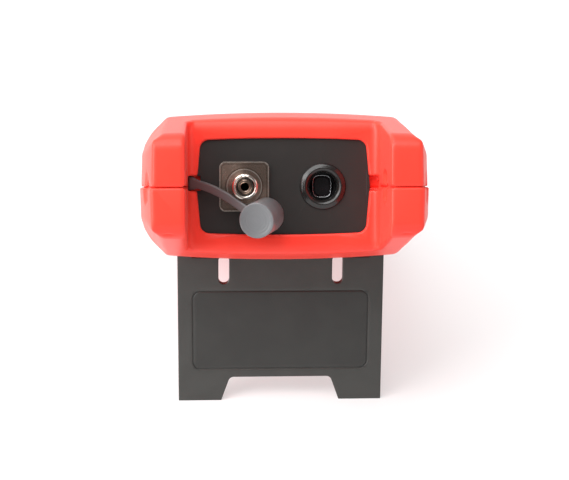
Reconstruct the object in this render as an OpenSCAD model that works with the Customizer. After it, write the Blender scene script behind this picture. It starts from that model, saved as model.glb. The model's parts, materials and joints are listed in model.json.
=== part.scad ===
// Handheld optical multimeter: a red housing in two shells, a dark connector
// panel set back between two horns, a display and keypad on the front, a
// battery bay and a hinged stand on the back.
// Every piece is drawn in the instrument's own frame: x across, y from the
// horn faces (0) to the bottom end, z out through the display, with the
// parting line of the shells at z = 0. place() leans it back on its open
// stand, with the floor at z = 0 and the origin under the middle of its box.

/* [Housing] */
// Length from the horn faces to the bottom end
body_l = 190; // [186:1:196]
// Half width of the rear shell at its widest
body_hw = 45.8; // [45.4:0.1:46.4]
// Half width at the hand grip
grip_hw = 44.6; // [44.2:0.1:45]
// Half thickness at the middle of the crown
body_ht = 24.4; // [24.2:0.1:24.8]
// Radius of the crown across the front and back
crown_r = 480; // [440:10:560]
// Half width of the housing at the horn faces
horn_hw = 41.3; // [41:0.1:42]
// Half height of the housing at the horn faces
horn_ht = 16; // [15.8:0.1:16.6]
// Depth at which the end slopes reach the full thickness
crest_y = 40; // [39:0.5:42]
// Wall of the shells
wall = 2.5; // [2.3:0.1:2.6]
// Open gap along the parting line
seam_gap = 0.5; // [0.3:0.05:0.6]
// How far the rear shell stands proud of the front shell
seam_step = 0.45; // [0.3:0.05:0.5]

/* [Connector bay] */
// Depth of the bay between the horns
bay_d = 27; // [26.5:0.5:27.5]
// Half width of the bay at its mouth
bay_hw = 31.1; // [30.9:0.1:31.3]
// Half width of the panel opening on the parting line
panel_hw = 27.9; // [27.7:0.1:28]
// Half height of the panel opening in the middle
panel_ht = 15.5; // [15.2:0.1:15.8]
// Distance of each port from the middle
port_x = 12.7; // [12.5:0.1:13]
// Width of the square connector flange
flange_w = 15.9; // [15.5:0.1:16.2]
// Outer diameter of the connector thread
thread_d = 8; // [8:0.1:8]
// Bore of the alignment sleeve
ferrule_d = 2.5; // [2.5:0.01:2.5]
// Bore of the detector port
port_bore_d = 9; // [8.8:0.1:9.2]

/* [Dust cap] */
// Outer diameter of the cap
cap_d = 10.8; // [10.6:0.1:11]
// Length of the cap
cap_l = 11.7; // [11.5:0.1:12]
// Height of the tether strap
strap_h = 2.6; // [2.4:0.1:2.8]
// Thickness of the tether strap
strap_t = 1.5; // [1.4:0.1:1.6]
// Height of the strap where it leaves its pivot bar
strap_root = 4; // [3.6:0.1:4]

/* [Stand] */
// Width of the stand plate
stand_w = 71; // [70:0.5:72]
// Hinge axis to the floor, along the plate
stand_l = 54.2; // [53.6:0.2:55]
// Thickness of the plate
stand_t = 3; // [2.8:0.1:3]
// Angle between the open stand and the back
stand_open = 80; // [78:1:82]
// Hinge axis from the horn faces
hinge_y = 60; // [59:0.5:61]
// Side play that the stand is pushed to
stand_shift = 1.2; // [0.8:0.1:1.2]

/* [Display and keys] */
// Half width of the front plate
plate_hw = 34; // [33:0.5:34.5]
// First and last depth of the front plate
plate_y = [47, 172];
// Half width of the display window
window_hw = 29; // [28:0.5:29.5]
// First and last depth of the display window
window_y = [56, 98];
// Width and length of a key
key_size = [15, 10];
// Travel of a key
key_travel = 0.8; // [0.6:0.1:0.8]

/* [Hidden] */
$fn = 48;

// The colours, as the photograph shows them
shell_red = [0.93, 0.2, 0.16];
panel_grey = [0.2, 0.19, 0.18];
stand_grey = [0.29, 0.29, 0.28];
key_grey = [0.62, 0.63, 0.64];
cap_grey = [0.54, 0.55, 0.56];
nickel = [0.72, 0.66, 0.6];
steel = [0.7, 0.71, 0.73];
board_green = [0.1, 0.36, 0.22];

// Lowest and highest point of the tongue on the parting line
tongue_z = [-1.5, 1.7];

// Soft edges of the housing
nose_d = 3;          // depth of the round on the horn faces
nose_in = [1.8, 3.4];  // how far it draws in, across and in height
tail_plan_r = 16;    // corner radius of the bottom end, seen from the front
tail_edge_r = 7;     // edge radius of the bottom end, seen from the side
crest_soft = 4;      // half length of the soft crest
horn_run = 26;       // depth over which the horns widen
grip_y = [60, 115];  // where the sides draw in to the grip
tail_thin = 0.8;     // how much thinner the bottom end is

// Heights of the stack under the display
plate_z = 22.6;      // face of the front plate
plate_t = 2;
plate_r = 6.9;       // radius of its corners
seat_gap = 0.15;     // gap round the plate and the battery cover
board_z = 8;         // back of the main board
board_t = 1.6;
board_hw = 35;
board_y = [50, 172];
mat_z = 17.2;        // back of the keypad mat
mat_t = 1.2;
mat_area = [[-30, 104], [30, 160]];
key_rise = 1.3;      // height of a key over the plate
key_gap = 0.25;      // gap round a key in its window
key_lip = 0.8;       // thickness and overhang of a key's lip
stem_r = 2;
switch_h = 3.7;

// Connector bay
floor_r = 1.8;       // round where the bay walls meet its floor
mouth_r = 1;         // round at the bay's mouth
bay_draft = 0.4;     // how much narrower the bay is at its floor
panel_y = bay_d + 1.2;   // face of the end panel
panel_t = 2;
panel_lap = 1.5;     // how far the panel runs behind the wall
end_wall = 3.2;
notch_x = 29.2;      // middle of a strap notch
notch_w = 3.1;
notch_z = [-1.35, 3.45];
notch_wall = [26.4, 33, 1.5];    // wall behind a notch: its sides and thickness
dimple_at = [13, 5.5];   // depth of the round marks inside and outside a horn
dimple_size = [[11, 11], [5.6, 11]];     // how deep along the horn and how tall each is
dimple_d = 1.1;
pivot_y = bay_d + 1.8;   // pivot of the tether, inside the end wall
bar_r = 1;           // pivot bar, and how far it runs past the notch
bar_reach = 1.2;
flange_t = 1.9;
flange_r = 1.9;      // radius of its corners
flange_step = 0.2;   // how far the turned middle of the flange stands proud
turned_r = 7.6;      // radius of that turned middle
spigot_r = 4.9;      // flange's spigot through the panel
barrel_seat = 3.4;   // radius of the barrel inside the flange
barrel_l = 9.8;      // thread length in front of the flange
collar = [5.65, 1.6];   // radius and length of the flange's collar
sleeve_back = 2;     // how far the sleeve sits behind the thread's end
sleeve_r = 2.3;
sleeve_l = 11.2;
nut_bore = 2.95;     // bore of the barrel in front of the sleeve's seat
laser_can = [6.4, 12];   // radius and length
bush_r = [6.25, 7.6];    // neck and lip of the detector port's bush
bush_y = [-1.3, 5.2];    // its front and back, from the panel's face
lens_t = 1.8;
lens_dome = 0.8;
detector_can = [5.9, 18];

// Screws
shell_screw = [[33, 46], [33, 176]];
screw_r = 1.4;
screw_head = [2.7, 2];
screw_seat = -14;    // under the heads of the shell screws
board_screw = [[33.6, 53], [33.6, 168.5]];

// Stand and hinge
hinge_z = -21.9;
rod_r = 1;
knuckle_r = 1.9;
run_gap = 0.05;      // running clearance round the rod
lug_x = [24.5, 29.5];  // hinge lugs of the rear shell
knuckle_x = [[14, 23.1], [30.9, stand_w / 2]];   // knuckles of the stand
slot_x = 19.7;       // middle of a stand slot
slot_w = 3.7;
slot_u = [3.9, 12.1];    // ends of the slots from the hinge axis
field = [30.9, 14.7, 43.4, 0.4];    // half width, ends and depth of the outer field
stand_back = 1;      // edge of the plate, set back from the hinge axis
stop_hw = 12;        // half width of the pad that the open stand leans on
stop_y = stand_t / 2 * sin(stand_open) - stand_back * cos(stand_open);
stand_gap = 0.4;     // room round the folded stand
pocket_floor = 2.2;
pocket_hw = stand_w / 2 + 1.7;   // half width of the room of the folded stand
lug_r = 1.85;        // hinge lugs of the rear shell

// Battery bay, with three cells side by side across the housing
cell_r = 7.2;
cell_l = 50.4;
cell_y = [132, 147, 162];
cell_z = -13.6;
bay_box = [29.4, 124, 170];
cover_y = [121, 181];
cover_hw = 31.5;
cover_t = 2.2;
cover_screw_y = 175.5;

function mix(a, b, t) = a + (b - a) * t;
function unit(t) = min(max(t, 0), 1);
function ease(t) = let (c = unit(t)) c * c * (3 - 2 * c);

// How far a round of that depth is drawn in, at a distance inside the edge
function round_in(inset, depth, d) =
    d >= depth ? 0 : inset * (1 - sqrt(1 - pow((depth - d) / depth, 2)));

// Half width and half thickness of the housing at a depth
function half_w(y) =
    (y < horn_run ? mix(horn_hw, body_hw, 1 - pow(1 - y / horn_run, 2))
    : mix(body_hw, grip_hw, ease((y - grip_y[0]) / (grip_y[1] - grip_y[0]))))
    - round_in(nose_in[0], nose_d, y)
    - round_in(tail_plan_r, tail_plan_r, body_l - y);
slope = (body_ht - horn_ht) / crest_y;
function full_h(y) =
    y < crest_y - crest_soft ? horn_ht + slope * y
    : y < crest_y + crest_soft
    ? body_ht - slope * pow(crest_y + crest_soft - y, 2) / (4 * crest_soft)
    : body_ht - tail_thin * ease((y - crest_y) / (body_l - crest_y));
function half_h(y) = full_h(y) - round_in(nose_in[1], nose_d, y)
    - round_in(tail_edge_r, tail_edge_r, body_l - y);

// Three points that round a corner b between its neighbours a and c
function corner(a, b, c, r) =
    let (p = b + (a - b) / norm(a - b) * r, q = b + (c - b) / norm(c - b) * r)
    [p, (p + 2 * b + q) / 4, q];

// Half a section, from the right of the parting line over to the left. The
// bevel grows from the horn faces to the crest, as share goes from 0 to 1.
function half_ring(w, h, share, base) =
    let (x1 = w - mix(4, 7.5, share),
        sag = mix(0.35, 1, share) / (2 * crown_r),
        p4 = [w, base],
        p3 = [w - 0.3, max(h - mix(5.5, 12.9, share), base + 1)],
        p2 = [w - mix(0.7, 2.5, share), h - mix(2.5, 6.9, share)],
        p1 = [x1, h - x1 * x1 * sag],
        p0 = [x1 * 0.66, h - pow(x1 * 0.66, 2) * sag],
        pm = [x1 * 0.33, h - pow(x1 * 0.33, 2) * sag],
        right = concat([p4, p3], corner(p3, p2, p1, mix(0.9, 1.6, share)),
            corner(p2, p1, p0, mix(1.2, 1.8, share)), [p0, pm]))
    concat(right, [[0, h]], [for (i = [len(right) - 1:-1:0])
        [-right[i][0], right[i][1]]]);

outer_ys = concat([for (i = [0:4]) nose_d * (1 - cos(i * 22.5))],
    [9, 15, 21, horn_run], [for (i = [-2:2]) crest_y + i * crest_soft / 2],
    [for (y = [52:12:body_l - tail_plan_r - 8]) y],
    [for (i = [6:-1:0]) body_l - tail_plan_r * (1 - cos(i * 15))]);
inner_ys = [crest_y - crest_soft, crest_y + crest_soft, 60, 80, 98, 115,
    150, body_l - tail_plan_r, body_l - 8];

// Closed solid through rings of equal length, front ring first
module loft(rings) {
    n = len(rings[0]);
    last = (len(rings) - 1) * n;
    polyhedron(points = [for (r = rings) each r], faces = concat(
        [[for (i = [n - 1:-1:0]) i]], [[for (i = [0:n - 1]) last + i]],
        [for (j = [0:len(rings) - 2], i = [0:n - 1])
            let (a = j * n + i, b = j * n + (i + 1) % n)
            each [[a, b, b + n], [a, b + n, a + n]]]));
}

// The display side of the housing's form. narrow takes in the sides, inset
// draws the whole form in.
module half_form(stations, from, to, narrow = 0, inset = 0, base = seam_gap / 2) {
    ys = concat([from], [for (y = stations) if (y > from + 0.1 && y < to - 0.1) y],
        [to]);
    loft([for (y = ys) [for (p = half_ring(half_w(y) - narrow - inset,
        half_h(y) - inset, unit(y / crest_y), base)) [p[0], y, p[1]]]]);
}

// Seat angle: the floor touches the stand's foot and the round of the tail
foot = [hinge_y + stand_l * cos(stand_open), hinge_z - stand_l * sin(stand_open)];
tail = [body_l - tail_edge_r, tail_edge_r - full_h(body_l - tail_edge_r / 2)];
lean = atan2(tail[1] - foot[1], tail[0] - foot[0])
    - asin(tail_edge_r / norm(tail - foot));
reach = [for (y = outer_ys) y * cos(lean)];
lift = [for (y = outer_ys) half_h(y) * sin(lean)];
mid_y = (min(reach - lift) + max(reach + lift)) / 2;
floor_z = foot[1] * cos(lean) - foot[0] * sin(lean);

cover_back = cover_t + 0.6 - full_h(150);

module place() {
    translate([0, -mid_y, -floor_z]) rotate([-lean, 0, 0]) children();
}

// Draws its children with local z running along y, or along x
module facing_y(x, y, z) { translate([x, y, z]) rotate([-90, 0, 0]) children(); }
module facing_x(x, y, z) { translate([x, y, z]) rotate([0, 90, 0]) children(); }
module both_sides() { for (s = [0, 1]) mirror([s, 0, 0]) children(); }

// Box from its lowest to its highest corner
module span(a, b) { translate(a) cube(b - a); }

// Flat plate with round corners, from its lowest to its highest corner
module soft_plate(a, b, r) {
    translate([0, 0, a[2]]) linear_extrude(b[2] - a[2]) {
        translate([a[0] + r, a[1]]) square([b[0] - a[0] - 2 * r, b[1] - a[1]]);
        translate([a[0], a[1] + r]) square([b[0] - a[0], b[1] - a[1] - 2 * r]);
        for (x = [a[0] + r, b[0] - r], y = [a[1] + r, b[1] - r])
            translate([x, y]) circle(r);
    }
}

// Exact round bar or hole along z
module post(x, y, z0, z1, r) { translate([x, y, z0]) cylinder(h = z1 - z0, r = r); }

// Plan of the bay that parts the horns, open toward the top end
module bay_plan() {
    f = bay_hw - bay_draft;
    offset(r = -mouth_r) offset(delta = mouth_r)
        offset(r = floor_r) offset(delta = -floor_r)
            polygon([[-60, -12], [60, -12], [60, 0], [bay_hw, 0], [f, bay_d],
                [-f, bay_d], [-bay_hw, 0], [-60, 0]]);
}

// Outline of the panel opening: it bulges at the parting line
module panel_outline(grow = 0) {
    w = panel_hw;
    t = panel_ht;
    offset(delta = grow) offset(r = 2.6) offset(delta = -2.6)
        polygon([[w, 0], [w - 1.3, t - 0.7], [w * 0.5, t - 0.15], [0, t],
            [-w * 0.5, t - 0.15], [1.3 - w, t - 0.7], [-w, 0],
            [1.3 - w, 0.7 - t], [-w * 0.5, 0.15 - t], [0, -t],
            [w * 0.5, 0.15 - t], [w - 1.3, 0.7 - t]]);
}
module panel_slab(y0, y1, grow) {
    translate([0, y1, 0]) rotate([90, 0, 0]) linear_extrude(y1 - y0)
        panel_outline(grow);
}

// What both shells lose at the top end, drawn for the display side
module top_end_cuts() {
    translate([0, 0, -1]) linear_extrude(40) bay_plan();
    panel_slab(bay_d - 1, bay_d + end_wall + 1, 0);
    panel_slab(panel_y, bay_d + end_wall + 1, panel_lap + 0.1);
    // The soft brow over the panel
    for (s = [0, 1]) mirror([0, 0, s])
        translate([0, bay_d, half_h(bay_d) - 1.9]) rotate([-38, 0, 0])
            translate([0, -10, 5]) cube([2 * (bay_hw - bay_draft - floor_r), 20, 10],
                center = true);
}

// Strap notches, and the round marks in the walls of the horns
module wall_cuts() {
    both_sides() {
        span([panel_hw - 1, bay_d - 1, notch_z[0]],
            [notch_x + notch_w / 2, bay_d + end_wall + 1, notch_z[1]]);
        post(notch_x, pivot_y, notch_z[0] - bar_reach - 0.1,
            notch_z[1] + bar_reach + 0.1, bar_r + 0.08);
        translate([bay_hw - bay_draft / 2, dimple_at[0], 0]) dimple(dimple_size[0], -1);
        translate([half_w(dimple_at[1]), dimple_at[1], 0]) dimple(dimple_size[1], 1);
    }
}

// Upright spindle that leaves a shallow oval mark in a wall at x = 0, drawn on
// the open side of that wall
module dimple(size, side) {
    tall_r = (pow(size[1] / 2, 2) + dimple_d * dimple_d) / (2 * dimple_d);
    wide_r = (pow(size[0] / 2, 2) + dimple_d * dimple_d) / (2 * dimple_d);
    zs = [for (i = [-6:6]) i];
    translate([side * (wide_r - dimple_d), 0, 0]) rotate_extrude()
        polygon(concat([[0, -6]], [for (z = zs) [wide_r - tall_r
            + sqrt(tall_r * tall_r - z * z), z]], [[0, 6]]));
}

// Wall that closes a strap notch behind its pivot bar, from one height to
// another. It hangs on the end wall from the height of its root on.
module notch_back(z0, z1, root) {
    y = bay_d + end_wall + 0.1;
    both_sides() {
        span([notch_wall[0], y, z0], [notch_wall[1], y + notch_wall[2], z1]);
        span([notch_x + 1.8, y - 0.4, root], [notch_wall[1], y + 1, z1]);
    }
}

// Band of the parting-line tongue, drawn in from the outer wall
module seam_band(outer, inner) {
    difference() {
        offset(delta = -outer) housing_plan();
        offset(delta = -inner) housing_plan();
    }
}
module housing_plan() {
    edge = [for (y = [1, 9, 18, horn_run, 60, 80, 98, 115, body_l - tail_plan_r,
        body_l - 8, body_l - 3]) [half_w(y), y]];
    difference() {
        polygon(concat(edge, [for (i = [len(edge) - 1:-1:0])
            [-edge[i][0], edge[i][1]]]));
        translate([0, 0.5]) bay_plan();
    }
}

// Keys: name, place across, depth, and the corner radius of the cap
KEYS = [["key_power", -20, 113, 4.9], ["key_light", 0, 113, 3],
    ["key_store", 20, 113, 3], ["key_wave", -20, 132, 3], ["key_unit", 0, 132, 3],
    ["key_reference", 20, 132, 3], ["key_laser", -20, 151, 4.9],
    ["key_zero", 0, 151, 3], ["key_mode", 20, 151, 3]];
function key_at(name) = [for (k = KEYS) if (k[0] == name) k][0];

// Rounded block round a key's middle, larger by grow on each side
module key_block(k, z0, z1, grow) {
    half = key_size / 2 + [grow, grow];
    soft_plate([k[1] - half[0], k[2] - half[1], z0],
        [k[1] + half[0], k[2] + half[1], z1], k[3] + min(grow, 0.5));
}

module front_shell() place() color(shell_red) {
    difference() {
        union() {
            difference() {
                half_form(outer_ys, 0, body_l, narrow = seam_step);
                half_form(inner_ys, bay_d + end_wall, body_l - wall,
                    narrow = seam_step, inset = wall, base = -1);
            }
            // Ledge that the front plate sits on
            span([-plate_hw - 3, plate_y[0] - 3.5, plate_z - plate_t - 2],
                [plate_hw + 3, plate_y[1] + 3.5, plate_z - plate_t + 0.9]);
        }
        top_end_cuts();
        wall_cuts();
        // Seat and opening of the front plate
        soft_plate([-plate_hw - seat_gap, plate_y[0] - seat_gap, plate_z - plate_t],
            [plate_hw + seat_gap, plate_y[1] + seat_gap, 30], plate_r + 0.1);
        soft_plate([-window_hw - 2, plate_y[0] + 4, 10],
            [window_hw + 2, plate_y[1] - 6, 30], 5);
        // Rebate for the tongue of the rear shell
        translate([0, 0, -1]) linear_extrude(tongue_z[1] + 1.3) seam_band(1.3, wall + 2);
    }
    notch_back(seam_gap / 2, notch_z[1] + bar_reach + 0.3, tongue_z[1] + 0.4);
    // Screw posts: four for the shells, four for the board
    both_sides() for (s = shell_screw) difference() {
        post(s[0], s[1], -0.9, 19, 3.4);
        post(s[0], s[1], -2, 9, screw_r + 0.02);
    }
    both_sides() for (b = board_screw) difference() {
        post(b[0], b[1], board_z + board_t, plate_z - plate_t, 2.4);
        post(b[0], b[1], board_z, board_z + 8, 1.02);
    }
}

module rear_shell() place() color(shell_red) {
    zb = hinge_z + stand_t / 2 + stand_gap;
    difference() {
        union() {
            difference() {
                mirror([0, 0, 1]) half_form(outer_ys, 0, body_l);
                mirror([0, 0, 1]) half_form(inner_ys, bay_d + end_wall,
                    body_l - wall, inset = wall, base = -1);
            }
            // Tongue along the parting line
            translate([0, 0, tongue_z[0]]) linear_extrude(tongue_z[1] - tongue_z[0])
                seam_band(1.45, wall + 0.1);
            // Pocket of the stand, and the walls of the battery bay
            span([-stand_w / 2 - 4, hinge_y - 6, -21.4],
                [stand_w / 2 + 4, hinge_y + stand_l + 4, zb + pocket_floor]);
            span([-bay_box[0] - 2, cover_y[0] - 0.5, -21.6],
                [bay_box[0] + 2, bay_box[2] + 2, -4]);
            span([-6, bay_box[2], -21.6], [6, bay_box[2] + 9, -13]);
            both_sides() for (s = shell_screw) post(s[0], s[1], -21.6, -1, 3.9);
        }
        mirror([0, 0, 1]) top_end_cuts();
        wall_cuts();
        // Room of the folded stand and of its knuckles
        span([-pocket_hw, hinge_y + 0.4, -40], [pocket_hw, hinge_y + stand_l + 1.6, zb]);
        span([-pocket_hw, hinge_y - knuckle_r - 0.5, -40],
            [pocket_hw, hinge_y + 3, hinge_z + knuckle_r + 0.5]);
        soft_plate([-9, hinge_y + stand_l - 6, -40],
            [9, hinge_y + stand_l + 3.4, zb + 0.8], 2);
        // Battery bay and the seat of its cover
        span([-bay_box[0], bay_box[1], -40], [bay_box[0], bay_box[2], -6]);
        soft_plate([-cover_hw - seat_gap, cover_y[0] - seat_gap, -40],
            [cover_hw + seat_gap, cover_y[1] + seat_gap, cover_back], 3.2);
        post(0, cover_screw_y, -30, -14, screw_r - 0.18);
        // Counterbores and holes for the shell screws
        both_sides() for (s = shell_screw) {
            post(s[0], s[1], -30, screw_seat, screw_head[0] + 0.3);
            post(s[0], s[1], -30, 4, screw_r + 0.1);
        }
    }
    notch_back(notch_z[0] - bar_reach - 0.3, -seam_gap / 2,
        notch_z[0] - bar_reach - 0.3);
    // Hinge lugs, and the pad that stops the open stand
    both_sides() difference() {
        union() {
            facing_x(lug_x[0], hinge_y, hinge_z) cylinder(h = lug_x[1] - lug_x[0], r = lug_r);
            span([lug_x[0], hinge_y - lug_r, hinge_z],
                [lug_x[1], hinge_y + lug_r, hinge_z + knuckle_r + 1.5]);
        }
        facing_x(lug_x[0] - 1, hinge_y, hinge_z) cylinder(h = 9, r = rod_r);
    }
    span([-stop_hw, hinge_y - knuckle_r - 1, hinge_z - 1.5],
        [stop_hw, hinge_y - stop_y - 0.06, hinge_z + knuckle_r + 1]);
}

module end_panel() place() color(panel_grey) difference() {
    panel_slab(panel_y, panel_y + panel_t, panel_lap);
    facing_y(-port_x, panel_y - 1, 0) cylinder(h = panel_t + 2, r = spigot_r + 0.1);
    facing_y(port_x, panel_y - 1, 0) cylinder(h = panel_t + 2, r = bush_r[0] + 0.05);
    both_sides() span([notch_x - notch_w / 2 - 0.95, panel_y - 1, notch_z[0] - 1.6],
        [notch_x + notch_w, panel_y + panel_t + 1, notch_z[1] + 1.6]);
}

module front_plate() place() color(panel_grey) difference() {
    soft_plate([-plate_hw, plate_y[0], plate_z - plate_t],
        [plate_hw, plate_y[1], plate_z], plate_r);
    // Seat of the window, and the opening under it
    soft_plate([-window_hw - 0.1, window_y[0] - 0.1, plate_z - 1],
        [window_hw + 0.1, window_y[1] + 0.1, plate_z + 1], 2.6);
    soft_plate([2 - window_hw, window_y[0] + 2, plate_z - 4],
        [window_hw - 2, window_y[1] - 2, plate_z + 1], 1.5);
    for (k = KEYS) key_block(k, plate_z - 4, plate_z + 1, key_gap);
}

module lcd_window() place() color([0.35, 0.4, 0.38])
    soft_plate([-window_hw, window_y[0], plate_z - 1],
        [window_hw, window_y[1], plate_z], 2.5);

module lcd_module() place() color([0.6, 0.66, 0.56]) difference() {
    span([-window_hw + 1, window_y[0], board_z + board_t],
        [window_hw - 1, window_y[1] + 1, plate_z - plate_t - 0.1]);
    // Bezel of the display frame
    span([-window_hw + 3.5, window_y[0] + 3, plate_z - plate_t - 0.6],
        [window_hw - 3.5, window_y[1] - 3, plate_z]);
}

module keypad_mat() place() color([0.4, 0.41, 0.42]) difference() {
    a = [mat_area[0][0], mat_area[0][1], board_z + board_t];
    b = [mat_area[1][0], mat_area[1][1], mat_z + mat_t];
    soft_plate(a, b, 3);
    soft_plate(a + [1.5, 1.5, -1], b - [1.5, 1.5, mat_t], 2);
    for (k = KEYS) post(k[1], k[2], mat_z - 1, mat_z + mat_t + 1, stem_r + 0.6);
}

module main_board() place() color(board_green) difference() {
    soft_plate([-board_hw, board_y[0], board_z],
        [board_hw, board_y[1], board_z + board_t], 2);
    both_sides() for (b = board_screw)
        post(b[0], b[1], board_z - 1, board_z + board_t + 1, 1.1);
}

module key_switches() place() color([0.75, 0.75, 0.76]) for (k = KEYS) {
    span([k[1] - 3, k[2] - 3, board_z + board_t], [k[1] + 3, k[2] + 3, board_z + board_t + 3]);
    post(k[1], k[2], board_z + board_t + 3, board_z + board_t + switch_h, 1.7);
}

// One key: cap with a softened face, lip under the plate, stem to its switch
module key_cap(name) place() color(key_grey) {
    k = key_at(name);
    under = plate_z - plate_t - 0.1;
    key_block(k, under - key_lip, plate_z + key_rise - 0.8, 0);
    key_block(k, plate_z + key_rise - 0.8, plate_z + key_rise - 0.3, -0.25);
    key_block(k, plate_z + key_rise - 0.3, plate_z + key_rise, -0.7);
    key_block(k, under - key_lip, under, key_lip);
    post(k[1], k[2], board_z + board_t + switch_h + key_travel + 0.1,
        under - key_lip, stem_r);
}
module key_power() key_cap("key_power");
module key_light() key_cap("key_light");
module key_store() key_cap("key_store");
module key_wave() key_cap("key_wave");
module key_unit() key_cap("key_unit");
module key_reference() key_cap("key_reference");
module key_laser() key_cap("key_laser");
module key_zero() key_cap("key_zero");
module key_mode() key_cap("key_mode");

flange_y = panel_y - flange_t;
barrel_y = flange_y - barrel_l;
module connector_flange() place() color(nickel) difference() {
    union() {
        translate([-port_x, panel_y, 0]) rotate([90, 0, 0])
            linear_extrude(flange_t - flange_step) offset(r = flange_r)
                square(flange_w - 2 * flange_r, center = true);
        facing_y(-port_x, flange_y, 0) cylinder(h = flange_t, r = turned_r);
        facing_y(-port_x, flange_y - collar[1], 0) cylinder(h = collar[1] + 1, r = collar[0]);
        facing_y(-port_x, panel_y - 1, 0) cylinder(h = panel_t + 2.5, r = spigot_r);
    }
    facing_y(-port_x, flange_y - 5, 0) cylinder(h = 20, r = barrel_seat);
}

module connector_barrel() place() color(nickel) difference() {
    thread_r = thread_d / 2;
    seat = barrel_l - collar[1];
    back = sleeve_back + sleeve_l;
    facing_y(-port_x, barrel_y, 0) rotate_extrude()
        polygon([[nut_bore, 0], [thread_r - 0.3, 0], [thread_r, 0.35], [thread_r, seat],
            [barrel_seat, seat], [barrel_seat, back], [sleeve_r, back],
            [sleeve_r, seat + 0.6], [nut_bore, seat + 0.6]]);
    // Key slot at the top of the thread
    span([-port_x - 1, barrel_y - 1, nut_bore - 1], [-port_x + 1, barrel_y + 3.4, 6]);
}

module ferrule_sleeve() place() color(steel)
    facing_y(-port_x, barrel_y + sleeve_back, 0) rotate_extrude()
        polygon([[ferrule_d / 2 + 0.3, 0], [sleeve_r - 0.2, 0], [sleeve_r, 0.3],
            [sleeve_r, sleeve_l], [ferrule_d / 2, sleeve_l], [ferrule_d / 2, 0.3]]);

module laser_diode() place() color(steel) difference() {
    facing_y(-port_x, panel_y + panel_t, 0) cylinder(h = laser_can[1], r = laser_can[0]);
    facing_y(-port_x, panel_y + panel_t - 1, 0) cylinder(h = 2.5, r = spigot_r);
}

// Soft black ring round the detector port, running back through the panel
module port_bush() place() color([0.1, 0.1, 0.1])
    facing_y(port_x, panel_y, 0) rotate_extrude() {
        bore = port_bore_d / 2;
        front = bush_y[0];
        polygon([[bore, bush_y[1] - lens_dome - 0.2], [bore + 0.3, bush_y[1] - lens_dome],
            [bore + 0.3, bush_y[1]], [bush_r[0], bush_y[1]], [bush_r[0], 0], [bush_r[1], 0],
            [bush_r[1], front + 0.7], [bush_r[1] - 0.3, front + 0.5],
            [bush_r[0] + 0.1, front + 0.4], [bush_r[0] - 0.2, front + 0.1],
            [bush_r[0] - 0.5, front], [bore + 0.5, front], [bore + 0.15, front + 0.1],
            [bore, front + 0.4]]);
    }

lens_y = panel_y + bush_y[1];
module port_lens() place() color([0.03, 0.03, 0.05]) facing_y(port_x, lens_y, 0) {
    cylinder(h = lens_t, r = bush_r[0] - 0.05);
    intersection() {
        translate([0, 0, -lens_dome]) cylinder(h = 2, r = port_bore_d / 2 - 0.1);
        translate([0, 0, port_bore_d + 0.2]) sphere(port_bore_d + 0.2 + lens_dome);
    }
}

module photo_detector() place() color([0.75, 0.65, 0.35]) {
    facing_y(port_x, lens_y + lens_t, 0)
        cylinder(h = detector_can[1], r = detector_can[0]);
    facing_y(port_x, lens_y + lens_t + detector_can[1], 0)
        cylinder(h = 6, r = detector_can[0] - 1.4);
}

// Direction of the hanging cap, from its open end to its closed face
cap_back = [-5.5, 23.1, -8.95];
cap_dir = [-3.9, -11, -1.55] / norm([-3.9, -11, -1.55]);
cap_bore = [4.08, 9];    // radius and depth of its hollow
module along(v) { rotate([0, acos(v[2]), atan2(v[1], v[0])]) children(); }
module cap_body(r) {
    translate(cap_back) along(cap_dir) cylinder(h = cap_l, r = r);
}
module dust_cap() place() color(cap_grey) translate(cap_back) along(cap_dir)
    rotate_extrude()
        polygon([[cap_bore[0], 0], [cap_d / 2 - 0.3, 0], [cap_d / 2, 0.3],
            [cap_d / 2, cap_l - 0.5], [cap_d / 2 - 0.15, cap_l - 0.15],
            [cap_d / 2 - 0.5, cap_l], [0, cap_l], [0, cap_bore[1]], cap_bore]);

// Strap: a flat section swept along one curve from the pivot bar to the cap
strap = [[-29, pivot_y - 0.2, 1.05], [-25.4, 25.4, 0.9], [-19.8, 20.6, -2.6],
    [-11.5, 16.4, -8.7]];
strap_flare = 0.22;      // share of the strap over which it widens to its root
function curve(p, t) = pow(1 - t, 3) * p[0] + 3 * pow(1 - t, 2) * t * p[1]
    + 3 * (1 - t) * t * t * p[2] + t * t * t * p[3];
function strap_ring(t) =
    let (c = curve(strap, t), d = curve(strap, t + 0.01) - curve(strap, t - 0.01),
        f = d / norm(d), s = cross(f, [0, 0, 1]) / norm(cross(f, [0, 0, 1])),
        u = cross(s, f), w = strap_t / 2, b = 0.3,
        h = mix(strap_root, strap_h, ease(t / strap_flare)) / 2)
    [for (q = [[w, h - b], [w - b, h], [b - w, h], [-w, h - b], [-w, b - h],
        [b - w, -h], [w - b, -h], [w, b - h]]) c + s * q[0] + u * q[1]];
module cap_tether() place() color([0.42, 0.4, 0.39]) difference() {
    union() {
        loft([for (i = [0:16]) strap_ring(i / 16)]);
        // Pivot bar, trapped across the notch by both shells, and the strap's
        // thicker root
        post(-notch_x, pivot_y, notch_z[0] - bar_reach, notch_z[1] + bar_reach, bar_r);
        translate([-notch_x, pivot_y, (notch_z[0] + notch_z[1]) / 2])
            rotate([0, 0, -40]) translate([0, -0.8, -strap_root / 2])
                cube([2.4, 1.6, strap_root]);
    }
    cap_body(cap_d / 2);
}

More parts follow.
